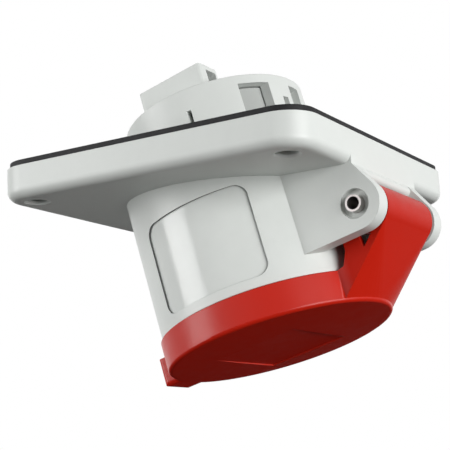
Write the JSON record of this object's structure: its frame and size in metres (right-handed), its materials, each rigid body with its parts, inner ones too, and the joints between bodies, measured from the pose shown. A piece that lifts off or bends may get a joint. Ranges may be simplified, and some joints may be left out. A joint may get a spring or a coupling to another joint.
{
  "type": "panel socket",
  "caption": "Square-flanged industrial panel socket, its round barrel leaning from the flange, with pin contacts' sleeves inside and a sprung hinged lid over the mouth.",
  "frame": {"origin": "centre of the flange's back plane, at the middle of the four panel holes", "axes": "+Z points behind the panel, square to the flange; the mouth faces -Z and leans 15 degrees towards -Y, the hinge side; X runs along the hinge pin"},
  "size_m": [0.085, 0.0913, 0.0779],
  "materials": {
    "grey_plastic": "fine satin moulding",
    "red_plastic": "satin moulding with a soft sheen",
    "black_rubber": "matt",
    "contact_brass": "nickel-plated brass",
    "spring_steel": "drawn wire",
    "plated_steel": "zinc plated"
  },
  "bodies": {
    "socket_body": {"housing": "grey_plastic", "flange_gasket": "black_rubber", "contact_plate": "grey_plastic", "contact_carrier": "grey_plastic", "terminal_block": "grey_plastic", "terminal_cover": "grey_plastic", "contact_l1": "contact_brass", "contact_l2": "contact_brass", "contact_l3": "contact_brass", "contact_earth": "contact_brass", "contact_ring_l1": "spring_steel", "contact_ring_l2": "spring_steel", "contact_ring_l3": "spring_steel", "contact_ring_earth": "spring_steel", "clamp_screw_l1": "plated_steel", "clamp_screw_l2": "plated_steel", "clamp_screw_l3": "plated_steel", "clamp_screw_earth": "plated_steel", "insert_screws": "plated_steel", "hinge_pin": "plated_steel", "lid_spring": "spring_steel"},
    "lid": {"lid": "red_plastic", "lid_seal": "black_rubber"}
  },
  "joints": [
    {"name": "lid_hinge", "type": "hinge", "parent": "socket_body", "child": "lid", "pos_m": [0, -0.04257, -0.01748], "axis": [-1, 0, 0], "range_deg": [0, 110], "stiffness_Nm_per_rad": 0.026, "springref_deg": -65.89, "deforming": ["lid_spring"]}
  ]
}
